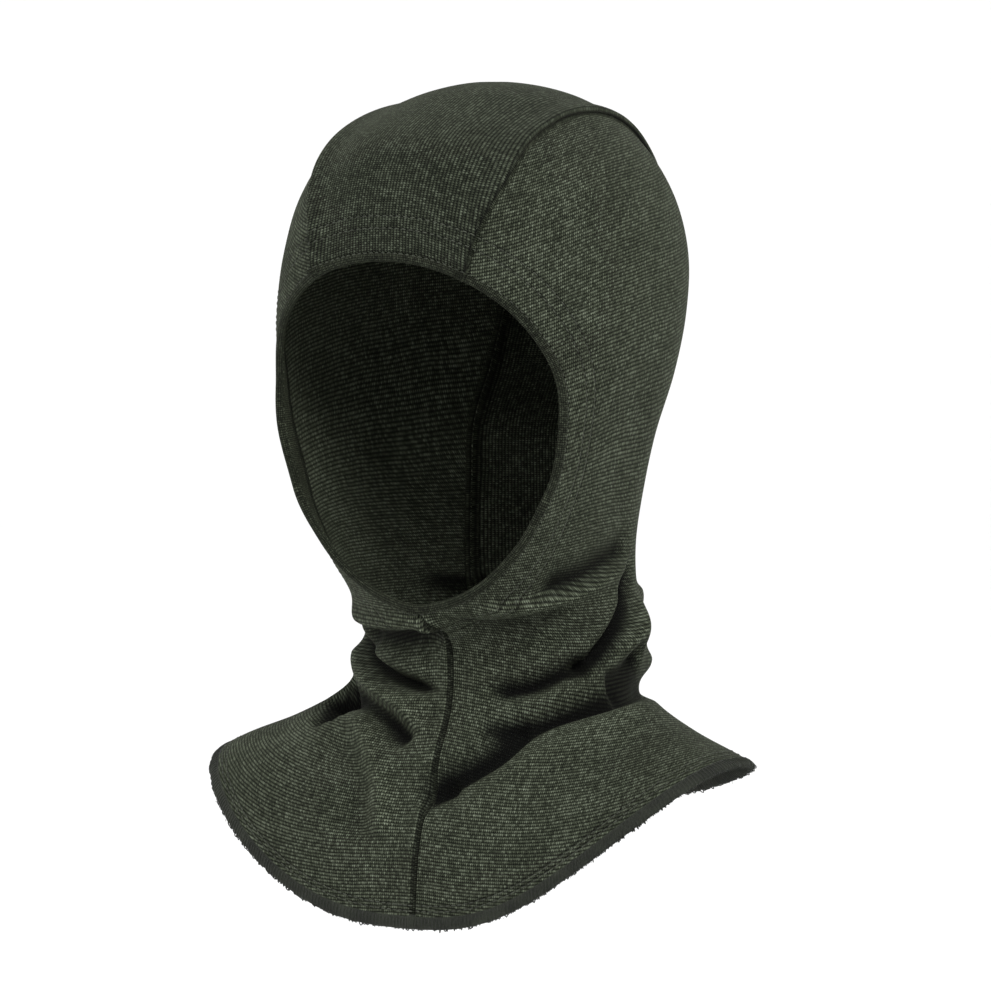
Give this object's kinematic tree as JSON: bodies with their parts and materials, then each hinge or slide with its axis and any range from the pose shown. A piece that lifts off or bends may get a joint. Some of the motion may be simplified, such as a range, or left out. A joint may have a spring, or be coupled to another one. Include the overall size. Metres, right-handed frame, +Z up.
{
  "type": "knit hood",
  "caption": "Close-fitting knitted hood with a face opening, a folded neck and a short shoulder cape, kept in the form it has when worn.",
  "frame": {"origin": "inside of the crown's highest point, where the hood rests on the top of a head", "axes": "+Z up, the face opening towards -Y, the wearer's left towards +X"},
  "size_m": [0.2465, 0.1789, 0.3489],
  "materials": {
    "crown_knit": "heathered dark olive fine knit, its courses running front to back",
    "side_knit": "heathered dark olive fine knit with light flecks",
    "face_edge": "the same knit, rolled and stitched down",
    "overlock_thread": "fuzzy dark olive overlock stitching"
  },
  "bodies": {
    "root": {"crown_panel": "crown_knit", "side_panel_left": "side_knit", "side_panel_right": "side_knit", "face_hem": "face_edge", "cape_hem": "overlock_thread"}
  },
  "joints": []
}
